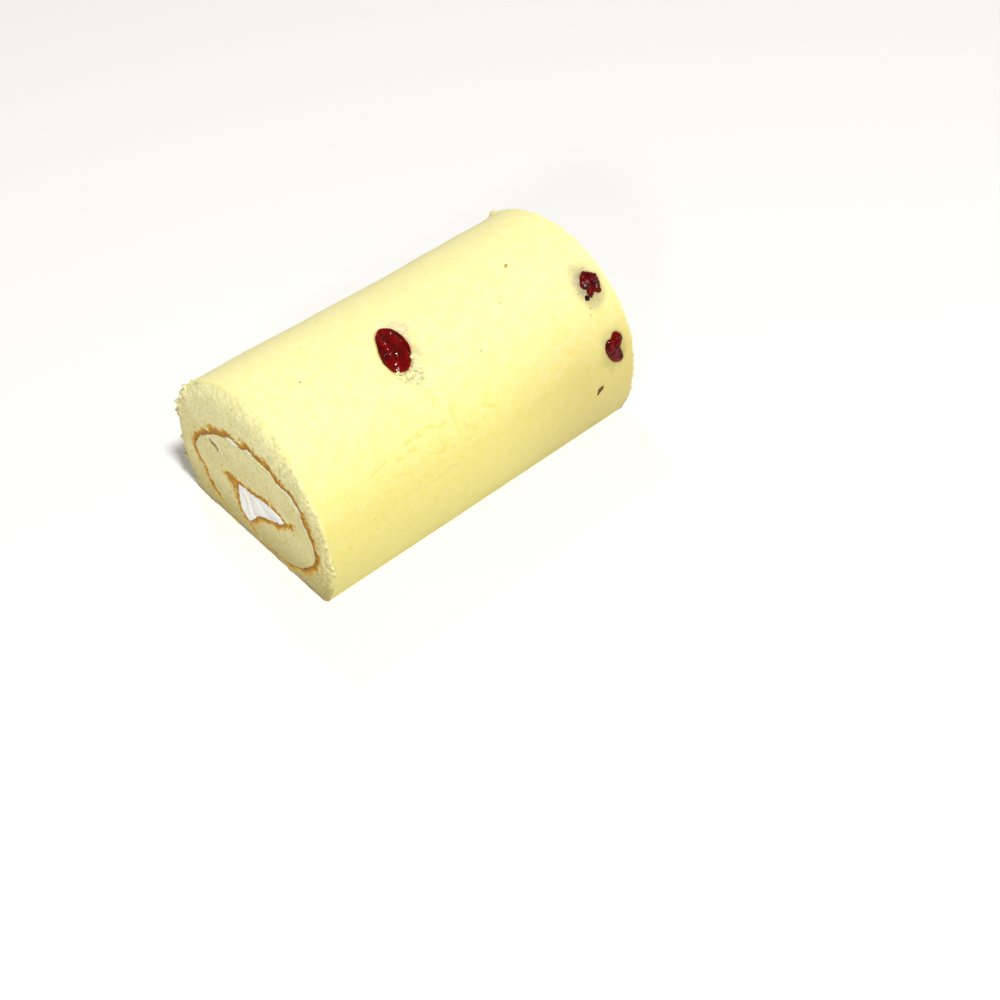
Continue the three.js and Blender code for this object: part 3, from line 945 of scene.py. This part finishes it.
def berry_mesh(berry):
    """Points and faces of one berry, with how deep each point lies in a fold."""
    settings = bpy.context.scene.swiss_roll_berries
    direction, faces = unit_ball(6)
    reach = berry_reach(berry, direction)
    rise = np.where(direction[:, 2] > 0, berry["rise"], berry["depth"])
    size = np.stack([reach, reach, rise], axis=1)
    seed = 40 + 3 * berry["x"]
    spread = direction * size
    wrinkles = lumps(spread, 2.6, seed) + 0.5 * lumps(spread, 1.2, seed + 1)
    ridges = np.clip(1 - np.abs(lumps(spread, 2.6, seed + 2)) * 5, 0, 1)
    fine_ridges = np.clip(1 - np.abs(lumps(spread, 1.3, seed + 4)) * 5, 0, 1)
    folds = berry_fold(direction, settings.wrinkle)
    folds += settings.wrinkle * (0.5 * (wrinkles - 0.5) - 0.5 * ridges - 0.3 * fine_ridges)
    folds = np.minimum(folds, 0)
    pimples = 0.35 * lumps(spread, 2.0, seed + 5) + 0.26 * lumps(spread, 0.95, seed + 6)
    torn = lumps(spread, 1.3, seed + 7) + 0.6 * lumps(spread, 0.7, seed + 8)
    size[:, :2] *= (1 + berry["ragged"] * torn + 0.25 * folds)[:, None]
    size[:, 2] *= 1 + 1.6 * folds
    size[:, 2] += pimples
    centre, axes = skin_frame(berry, BERRY_SINK)
    points = (direction * size) @ axes + centre
    # fold brings in painted shade in the folds, and dark the berry's own deeper red
    return points, faces.tolist(), {"fold": np.clip(-folds / 0.2, 0, 1) + berry["dark"]}


def fleck_mesh():
    """Points, faces and darkness of the flecks pressed in the skin."""
    direction, triangles = unit_ball(4)
    points, faces, dark = [], [], []
    sink, flatness = 0.35, 0.35
    for number, fleck in enumerate(FLECKS):
        centre, axes = skin_frame(fleck, sink)
        size = np.array([fleck["length"] / 2, fleck["width"] / 2, flatness])
        shape = direction * size * (1 + 0.45 * lumps(direction, 0.9, 60 + number))[:, None]
        points.append(shape @ axes + centre)
        faces.append(triangles + number * len(direction))
        dark.append(np.full(len(direction), fleck["dark"]))
    return np.concatenate(points), np.concatenate(faces).tolist(), {"dark": np.concatenate(dark)}


def crumb_places(count, rng):
    """Places for crumbs along both cut edges and by the middle berry: point, outward, width."""
    log = cut_log()
    settings = bpy.context.scene.swiss_roll_crumbs
    skin = log["skin"]
    base_clear = 2.5
    centre = np.array([0, 0, HEIGHT / 2])
    for row in (0, -1):
        candidates = skin[row][skin[row][:, 2] > base_clear]
        # Crumbs cling to the lower half of the edge and to its +Y side
        candidates = candidates[(candidates[:, 1] > 18) | (candidates[:, 2] < 32)]
        for _ in range(count):
            place = candidates[rng.integers(len(candidates))]
            outward = (place - centre) / np.linalg.norm(place - centre)
            yield place, outward, rng.uniform(settings.smallest, settings.largest) / MM
    for line, lumps_along in LOOSE_CRUMB:
        line = respace(np.array(line, float), lambda p: 0.1)
        for _ in range(lumps_along):
            x, arc = line[rng.integers(len(line))] + rng.normal(0, 0.25, 2)
            ring = np.argmin(np.abs(log["rings"] - x))
            place = skin[ring, np.argmin(np.abs(log["arc"] - arc))]
            outward = np.array([0, place[1], place[2] - HEIGHT / 3])
            lift = LOOSE_LIFT * outward / np.linalg.norm(outward)
            yield place + lift, lift, rng.uniform(*LOOSE_WIDTHS)


def crumb_mesh():
    """Small torn lumps of crumb."""
    rng = np.random.default_rng(SEED)
    direction, triangles = unit_ball(3)
    points, faces = [], []
    settings = bpy.context.scene.swiss_roll_crumbs
    for place, outward, width in crumb_places(settings.count, rng):
        stretch = rng.uniform(0.6, 1.2, 3) * width / 2
        torn = lumps(direction, 0.9, rng.uniform(50, 90))
        torn += 0.6 * lumps(direction, 0.4, rng.uniform(50, 90))
        shape = direction * stretch * (1 + 0.55 * torn)[:, None]
        turn = np.array(Matrix.Rotation(rng.uniform(0, math.tau), 3, rng.normal(size=3)))
        faces.append(triangles + len(points) * len(direction))
        points.append(shape @ turn.T + place - 0.4 * width * outward)
    return np.concatenate(points), np.concatenate(faces).tolist()


# ---------------------------------------------------------------- materials


def add_node(tree, kind, take=None, inputs=None, **settings):
    """Adds a node with its settings, values and links, and returns one of its outputs.

    A value is another node's output, a number or vector, linear red, green and blue, or sRGB hex.
    """
    node = tree.nodes.new(kind)
    for name, value in settings.items():
        setattr(node, name, value)
    for name, value in (inputs or {}).items():
        socket = next(s for s in node.inputs if name in (s.identifier, s.name))
        if isinstance(value, bpy.types.NodeSocket):
            tree.links.new(value, socket)
            continue
        value = linear(value) if isinstance(value, str) else value
        socket.default_value = (*value, 1.0) if socket.type == "RGBA" else value
    if take:
        return node.outputs[take]
    return next((out for out in node.outputs if out.enabled), None)


def new_material(name):
    """An empty node material, its tree and the place on the object, in metres."""
    material = bpy.data.materials.new(name)
    material.use_nodes = True
    tree = material.node_tree
    tree.nodes.clear()
    return material, tree, add_node(tree, "ShaderNodeTexCoord", "Object")


def per_metre(size):
    """Texture scale for features of a size in millimetres."""
    return 1 / (size * MM)


def lay_over(tree, below, layers):
    """Lays colours over one another. A layer has a colour, the value that brings it in, the span
    of that value from none to most, how much is most, and how it blends."""
    for above, value, none_at, most_at, most, blend in layers:
        share = add_node(tree, "ShaderNodeMapRange", "Result", {
            "Value": value, "From Min": none_at, "From Max": most_at, "To Max": most})
        below = add_node(tree, "ShaderNodeMix", None, {
            "Factor_Float": share, "A_Color": below, "B_Color": above,
        }, data_type="RGBA", blend_type=blend)
    return below


def finish_surface(tree, base, height, strength, depth, finish):
    """Ends a material with its colour, its fine relief (depth in mm) and its shader's finish."""
    bump = add_node(tree, "ShaderNodeBump", "Normal", {
        "Height": height, "Strength": strength, "Distance": depth * MM})
    shader = add_node(tree, "ShaderNodeBsdfPrincipled", None, {
        "Base Color": base, "Normal": bump, **finish})
    add_node(tree, "ShaderNodeOutputMaterial", inputs={"Surface": shader})


# The sponge's noises: size in mm and detail
SPONGE_NOISES = {
    "mottling": (4.0, 3), "fine_mottling": (1.5, 3), "freckles": (1.8, 1), "blotches": (1.6, 3),
    "dull": (1.3, 4), "patches": (7.0, 2), "grain": (1.4, 5), "specks": (1.5, 4),
    "ragged": (0.9, 5), "skin_grain": (1.0, 4), "coarse_foam": (1.0, 6), "fine_foam": (0.45, 2),
}
SPONGE_MARKS = (
    "crease", "stain", "peeled", "torn", "gap_shade", "cut", "crust", "pore", "smear", "open_crumb",
    "slit",
)
# A value drawn out from a span of another one: where the span starts and ends, and what it gives
SPONGE_SPANS = {
    # low_down and far_along bring in the skin's painted shade low on the sides and towards the +X
    # end
    "low_down": ("height_up", 62 * MM, 36 * MM, 0, 1),
    "far_along": ("along", 5 * MM, 45 * MM, 0, 1),
    "blotchy": ("blotches", 0.3, 0.7, 0.75, 1.05),
    "speckled": ("specks", 0.5, 0.65, 0, 1),
    "fringe": ("ragged", 0.28, 0.72, -0.65, 0.65),
    "uneven": ("blotches", 0.3, 0.7, -0.3, 0.3),
}
SPONGE_SUMS = {
    "far_low_shade": ("low_down", "MULTIPLY", "far_along"),
    "stained": ("stain", "MULTIPLY", "blotchy"),
    "open_specks": ("speckled", "MULTIPLY", "open_crumb"),
    "depth": ("crust", "ADD", "fringe"),
    "edge": ("cut", "ADD", "uneven"),
    "foam": ("coarse_foam", "ADD", "fine_foam"),
    "bare": ("torn", "MAXIMUM", "peeled"),
}


def sponge_values(tree, place):
    """The noises, marks and places that the sponge's looks depend on, by name."""
    values = {}
    for name, (size, detail) in SPONGE_NOISES.items():
        values[name] = add_node(tree, "ShaderNodeTexNoise", "Fac", {
            "Vector": place, "Scale": per_metre(size), "Detail": detail})
    for name in SPONGE_MARKS:
        values[name] = add_node(tree, "ShaderNodeAttribute", "Fac", attribute_name=name)
    values["along"], _, values["height_up"] = add_node(
        tree, "ShaderNodeSeparateXYZ", "X", {"Vector": place}).node.outputs
    for name, (value, start, end, least, most) in SPONGE_SPANS.items():
        values[name] = add_node(tree, "ShaderNodeMapRange", "Result", {
            "Value": values[value], "From Min": start, "From Max": end,
            "To Min": least, "To Max": most})
    for name, (first, operation, second) in SPONGE_SUMS.items():
        values[name] = add_node(tree, "ShaderNodeMath", None, {
            "Value": values[first], "Value_001": values[second]}, operation=operation)
    return values


def sponge_skin(tree, values, pale):
    """The skin's colour: yellow mottling of 4 mm and 1.5 mm, sparse freckles, and painted shade
    that makes it deeper yellow low on the sides and towards the +X end. Creases and the gap round
    each berry get painted shade too. The peeled and torn patch shows the duller sponge under it."""
    peeled = lay_over(tree, "E8DFB2", [("D6CA9C", values["dull"], 0.35, 0.65, 1, "MIX")])
    torn = lay_over(tree, "EFE7BE", [("D0C48E", values["dull"], 0.35, 0.65, 1, "MIX")])
    return lay_over(tree, pale, [
        ("F5E999", values["mottling"], 0.36, 0.66, 0.65, "MIX"),
        ("F4E78E", values["fine_mottling"], 0.42, 0.68, 0.6, "MIX"),
        ("EACF62", values["freckles"], 0.71, 0.78, 0.55, "MIX"),
        # Painted shade: darker low on the sides, and more so low down towards the +X end
        ("E7E5C4", values["low_down"], 0, 1, 1, "MULTIPLY"),
        ("EFEBF1", values["far_low_shade"], 0, 1, 1, "MULTIPLY"),
        # Painted shade in the creases
        ("E3CB5A", values["crease"], 0.2, 0.9, 0.45, "MIX"),
        ("AFADC8", values["stained"], 0, 1, 1, "MULTIPLY"),
        (peeled, values["peeled"], 0.1, 0.9, 0.9, "MIX"),
        (torn, values["torn"], 0.2, 0.8, 1, "MIX"),
        # Painted shade in the gap round each berry
        ("B0893C", values["gap_shade"], 0.1, 0.9, 0.6, "MIX"),
    ])


def sponge_face(tree, values, crumb, crust):
    """The cut faces' colour: crumb, with the browned side of the sheet as a line through it."""
    # Crumb: painted light that makes it paler towards the top, 7 mm patches, 1.4 mm grain of the
    # baked foam, painted shade in the pores and in the slit, and painted shade towards the base,
    # where the crumb is partly browned as well
    crumb = lay_over(tree, crumb, [
        ("FFF9BC", values["height_up"], 32 * MM, 58 * MM, 1, "MIX"),
        ("F1EFD7", values["patches"], 0.35, 0.65, 0.45, "MULTIPLY"),
        ("E7E3CB", values["grain"], 0.4, 0.64, 0.55, "MULTIPLY"),
        ("BBA968", values["open_specks"], 0, 1, 0.45, "MIX"),
        # Painted shade in the pores
        ("C2AD68", values["pore"], 0.1, 1.0, 0.6, "MIX"),
        # Painted shade towards the base, partly browning as well
        ("CBC4AD", values["height_up"], 19 * MM, 1 * MM, 1, "MULTIPLY"),
        # Painted shade in the slit
        ("8A8660", values["slit"], 0.2, 0.9, 0.8, "MIX"),
    ])
    # Browned side: dark at the line, ochre behind it and tan where it meets the crumb
    depth = values["depth"]
    toast = lay_over(tree, "965C00", [(crust, depth, -0.3, 0.8, 1, "MIX")])
    halo = lay_over(tree, "DDB850", [(crumb, depth, 1.0, 2.0, 1, "MIX")])
    return lay_over(tree, toast, [
        (halo, depth, 0.95, 1.12, 1, "MIX"),
        ("F9F6EC", values["smear"], 0.2, 0.8, 0.9, "MIX"),
    ])


def baked_sponge():
    """Egg sponge baked in a sheet: a matte, faintly velvety skin and an open cut crumb."""
    settings = bpy.context.scene.swiss_roll_sponge
    material, tree, place = new_material("baked_egg_sponge")
    values = sponge_values(tree, place)
    skin = sponge_skin(tree, values, settings.skin_colour)
    face = sponge_face(tree, values, settings.crumb_colour, settings.crust_colour)
    base = lay_over(tree, skin, [(face, values["edge"], 0.3, 0.7, 1, "MIX")])

    # Relief too fine for the mesh: 1 mm skin grain, and crumb of 1 mm and 0.45 mm
    cut = add_node(tree, "ShaderNodeMapRange", "Result", {
        "Value": values["edge"], "From Min": 0.3, "From Max": 0.7})
    crumbly = add_node(tree, "ShaderNodeMath", None, {
        "Value": cut, "Value_001": values["bare"]}, operation="MAXIMUM")
    skin_relief = add_node(tree, "ShaderNodeMath", None, {
        "Value": values["skin_grain"], "Value_001": 0.3}, operation="MULTIPLY")
    height = add_node(tree, "ShaderNodeMix", None, {
        "Factor_Float": crumbly, "A_Float": skin_relief, "B_Float": values["foam"],
    }, data_type="FLOAT")
    finish_surface(tree, base, height, 0.7, 0.4, {
        "Roughness": 0.85, "IOR": 1.4, "Specular IOR Level": 0.2, "Subsurface Weight": 0.3,
        "Subsurface Radius": (1.0, 0.7, 0.35), "Subsurface Scale": 1.8 * MM,
        "Sheen Weight": 0.1, "Sheen Roughness": 0.6})
    return material


def whipped_cream():
    """Whipped cream spread with a knife: white, soft and faintly moist."""
    settings = bpy.context.scene.swiss_roll_cream
    material, tree, place = new_material("whipped_cream")
    # The knife's drag, about 2 mm across, and crumbs of 1.6 mm picked up on the way
    drag = add_node(tree, "ShaderNodeTexNoise", "Fac", {
        "Vector": place, "Scale": per_metre(2.2), "Detail": 3, "Distortion": 0.6})
    crumbs = add_node(tree, "ShaderNodeTexNoise", "Fac", {
        "Vector": place, "Scale": per_metre(1.6), "Detail": 3})
    thin, tinted = (
        add_node(tree, "ShaderNodeAttribute", "Fac", attribute_name=name)
        for name in ("thin", "tinted")
    )
    soaked = add_node(tree, "ShaderNodeMath", None, {
        "Value": tinted, "Value_001": drag}, operation="MULTIPLY")
    base = lay_over(tree, settings.colour, [
        ("EDE6CC", drag, 0.45, 0.75, 0.35, "MIX"),
        ("E9DCA0", crumbs, 0.6, 0.68, 0.5, "MIX"),
        ("E8DFA8", soaked, 0, 1, 1, "MIX"),
        ("C0903C", thin, 0, 1, 1, "MIX"),
    ])
    finish_surface(tree, base, drag, 0.4, 0.3, {
        "Roughness": 0.45, "IOR": 1.45, "Subsurface Weight": 0.3,
        "Subsurface Radius": (1.0, 0.85, 0.65), "Subsurface Scale": 1.2 * MM})
    return material


def dried_fruit_skin():
    """Sugared dried berry: dark red skin that looks wet, with painted shade in its folds."""
    settings = bpy.context.scene.swiss_roll_berries
    material, tree, place = new_material("dried_fruit_skin")
    fold = add_node(tree, "ShaderNodeAttribute", "Fac", attribute_name="fold")
    # Clouds of 3 mm in the flesh, and a skin puckered every 1.4 mm
    cloud, pucker = (
        add_node(tree, "ShaderNodeTexNoise", "Fac", {
            "Vector": place, "Scale": per_metre(size), "Detail": detail})
        for size, detail in ((3.0, 4), (1.4, 2))
    )
    shade = add_node(tree, "ShaderNodeMath", None, {
        "Value": fold, "Value_001": cloud}, operation="ADD")
    # Painted shade in the folds, with the berry's own dark share and clouds deepening the red
    base = lay_over(tree, settings.colour, [
        (settings.dark_and_fold_shade_colour, shade, 0.55, 1.5, 1, "MIX")])
    finish_surface(tree, base, pucker, 0.5, 0.1, {
        "Roughness": 0.3, "IOR": 1.42, "Specular IOR Level": 0.05,
        "Coat Weight": 0.35, "Coat Roughness": 0.03, "Subsurface Weight": 0.1,
        "Subsurface Radius": (1.0, 0.15, 0.1), "Subsurface Scale": 0.8 * MM})
    return material


def scorched_sugar():
    """Flecks of scorched sugar and dried fruit pressed in the skin: tan to nearly black."""
    material, tree, place = new_material("scorched_sugar")
    dark = add_node(tree, "ShaderNodeAttribute", "Fac", attribute_name="dark")
    grain = add_node(tree, "ShaderNodeTexNoise", "Fac", {
        "Vector": place, "Scale": per_metre(0.6), "Detail": 3})
    base = lay_over(tree, "CA9C40", [("1C0A08", dark, 0, 1, 1, "MIX")])
    finish_surface(tree, base, grain, 0.6, 0.2, {
        "Roughness": 0.5, "IOR": 1.45, "Specular IOR Level": 0.15})
    return material


def matte_floor():
    """Matte white board under the cake: plain, with a barely seen tooth."""
    settings = bpy.context.scene.swiss_roll_stage
    material, tree, place = new_material("matte_white_board")
    tooth = add_node(tree, "ShaderNodeTexNoise", "Fac", {
        "Vector": place, "Scale": per_metre(1.5), "Detail": 2})
    finish_surface(tree, settings.floor_colour, tooth, 0.05, 0.1, {"Roughness": 0.8})
    return material


# ---------------------------------------------------------------- operators


class SWISSROLL_OT_sponge(bpy.types.Operator):
    """Builds the rolled sponge with its skin and both cut faces"""

    bl_idname = "swiss_roll.sponge"
    bl_label = "Rolled sponge"

    def execute(self, context):
        points, faces, marks = sponge_mesh()
        piece = make_piece("rolled_sponge", points, faces, baked_sponge(), marks)
        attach(piece, "root")
        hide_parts("sponge_sheet")
        return {"FINISHED"}


class SWISSROLL_OT_cream(bpy.types.Operator):
    """Builds the cream that fills the pocket and runs between the turns"""

    bl_idname = "swiss_roll.cream"
    bl_label = "Cream filling"

    def execute(self, context):
        points, faces, marks = cream_mesh()
        piece = make_piece("cream_between_turns", points, faces, whipped_cream(), marks)
        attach(piece, "root")
        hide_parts("cream_filling")
        return {"FINISHED"}


class SWISSROLL_OT_berries(bpy.types.Operator):
    """Builds the dried berries sunk in the skin"""

    bl_idname = "swiss_roll.berries"
    bl_label = "Dried berries"

    def execute(self, context):
        material = dried_fruit_skin()
        for berry in BERRIES:
            points, faces, marks = berry_mesh(berry)
            piece = make_piece(berry["name"], points, faces, material, marks)
            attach(piece, "root")
            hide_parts(berry["node"])
        return {"FINISHED"}


class SWISSROLL_OT_flecks(bpy.types.Operator):
    """Presses the small dark flecks in the skin"""

    bl_idname = "swiss_roll.flecks"
    bl_label = "Flecks in the skin"

    def execute(self, context):
        points, faces, marks = fleck_mesh()
        piece = make_piece("skin_flecks", points, faces, scorched_sugar(), marks)
        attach(piece, "root")
        return {"FINISHED"}


class SWISSROLL_OT_crumbs(bpy.types.Operator):
    """Scatters small crumbs along the cut edges"""

    bl_idname = "swiss_roll.crumbs"
    bl_label = "Edge crumbs"

    def execute(self, context):
        points, faces = crumb_mesh()
        marks = {"cut": np.ones(len(points)), "crust": np.full(len(points), UNBROWNED)}
        material = bpy.data.materials["baked_egg_sponge"]
        piece = make_piece("edge_crumbs", points, faces, material, marks)
        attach(piece, "root")
        return {"FINISHED"}


class SWISSROLL_OT_stage(bpy.types.Operator):
    """Lays the floor and sets the lamps and the camera"""

    bl_idname = "swiss_roll.stage"
    bl_label = "Floor, light and camera"

    def execute(self, context):
        settings = context.scene.swiss_roll_stage
        half = 1500.0
        corners = [(-half, -half, 0), (half, -half, 0), (half, half, 0), (-half, half, 0)]
        floor = make_piece("floor", corners, [(0, 1, 2, 3)], matte_floor())
        add_sky(settings.sky_strength)
        add_lamp("soft_key", (-0.24, -1.08, 2.14), 0.36, settings.key_power)
        add_lamp("soft_back", (0.48, 1.45, 1.85), 0.2, settings.back_power)
        add_lamp("soft_side", (-1.85, -1.3, 1.15), 0.32, settings.fill_power)
        add_camera(settings.lens)
        context.scene.view_settings.view_transform = "Standard"
        return {"FINISHED"}


def add_sky(strength):
    """Even white light from all round."""
    world = bpy.data.worlds.new("soft_sky")
    world.use_nodes = True
    world.node_tree.nodes.clear()
    sky = add_node(world.node_tree, "ShaderNodeBackground", inputs={
        "Color": "FFFFFF", "Strength": strength})
    add_node(world.node_tree, "ShaderNodeOutputWorld", inputs={"Surface": sky})
    bpy.context.scene.world = world


def add_lamp(name, place, width, power):
    """A round soft lamp, turned towards the middle of the cake."""
    data = bpy.data.lights.new(name, "AREA")
    data.shape = "DISK"
    data.size = width
    data.energy = power
    lamp = bpy.data.objects.new(name, data)
    lamp.location = place
    aim = Vector((0, 0, 0.03)) - lamp.location
    lamp.rotation_mode = "QUATERNION"
    lamp.rotation_quaternion = aim.to_track_quat("-Z", "Y")
    bpy.context.scene.collection.objects.link(lamp)


CAMERA_PLACE = (-0.25451, -0.33993, 0.40885)
CAMERA_AZIMUTH = -41.086
CAMERA_ELEVATION = 46.066
CAMERA_ROLL = -1.581


def add_camera(lens):
    """The camera looks down on the -X cut face and the -Y side of the log."""
    data = bpy.data.cameras.new("camera")
    data.lens = lens
    data.clip_start = 0.01
    camera = bpy.data.objects.new("camera", data)
    azimuth = math.radians(CAMERA_AZIMUTH)
    elevation = math.radians(CAMERA_ELEVATION)
    back = Vector((
        math.sin(azimuth) * math.cos(elevation),
        -math.cos(azimuth) * math.cos(elevation),
        math.sin(elevation),
    ))
    level = (-back).to_track_quat("-Z", "Y").to_matrix()
    rolled = level @ Matrix.Rotation(math.radians(CAMERA_ROLL), 3, "Z")
    camera.matrix_world = Matrix.Translation(CAMERA_PLACE) @ rolled.to_4x4()
    bpy.context.scene.collection.objects.link(camera)
    bpy.context.scene.camera = camera


class SWISSROLL_PT_panel(bpy.types.Panel):
    """Lists the steps that build the cake and their settings"""

    bl_idname = "SWISSROLL_PT_panel"
    bl_label = "Swiss roll"
    bl_space_type = "VIEW_3D"
    bl_region_type = "UI"
    bl_category = "Swiss roll"

    def draw(self, context):
        for operator in OPERATORS:
            self.layout.operator(operator.bl_idname)
        for name, group in SETTINGS.items():
            box = self.layout.box()
            for prop in group.__annotations__:
                box.prop(getattr(context.scene, name), prop)


SETTINGS = {
    "swiss_roll_sponge": SpongeSettings,
    "swiss_roll_cream": CreamSettings,
    "swiss_roll_berries": BerrySettings,
    "swiss_roll_crumbs": CrumbSettings,
    "swiss_roll_stage": StageSettings,
}
OPERATORS = (
    SWISSROLL_OT_sponge,
    SWISSROLL_OT_cream,
    SWISSROLL_OT_berries,
    SWISSROLL_OT_flecks,
    SWISSROLL_OT_crumbs,
    SWISSROLL_OT_stage,
)


def register():
    """Registers the settings, the operators and the panel."""
    for name, group in SETTINGS.items():
        bpy.utils.register_class(group)
        setattr(bpy.types.Scene, name, PointerProperty(type=group))
    for operator in OPERATORS:
        bpy.utils.register_class(operator)
    bpy.utils.register_class(SWISSROLL_PT_panel)


def unregister():
    """Takes away what register adds."""
    bpy.utils.unregister_class(SWISSROLL_PT_panel)
    for operator in reversed(OPERATORS):
        bpy.utils.unregister_class(operator)
    for name, group in SETTINGS.items():
        delattr(bpy.types.Scene, name)
        bpy.utils.unregister_class(group)


def main():
    """Builds the cake and its stage."""
    register()
    bpy.ops.swiss_roll.sponge()
    bpy.ops.swiss_roll.cream()
    bpy.ops.swiss_roll.berries()
    bpy.ops.swiss_roll.flecks()
    bpy.ops.swiss_roll.crumbs()
    bpy.ops.swiss_roll.stage()


if __name__ == "__main__":
    main()
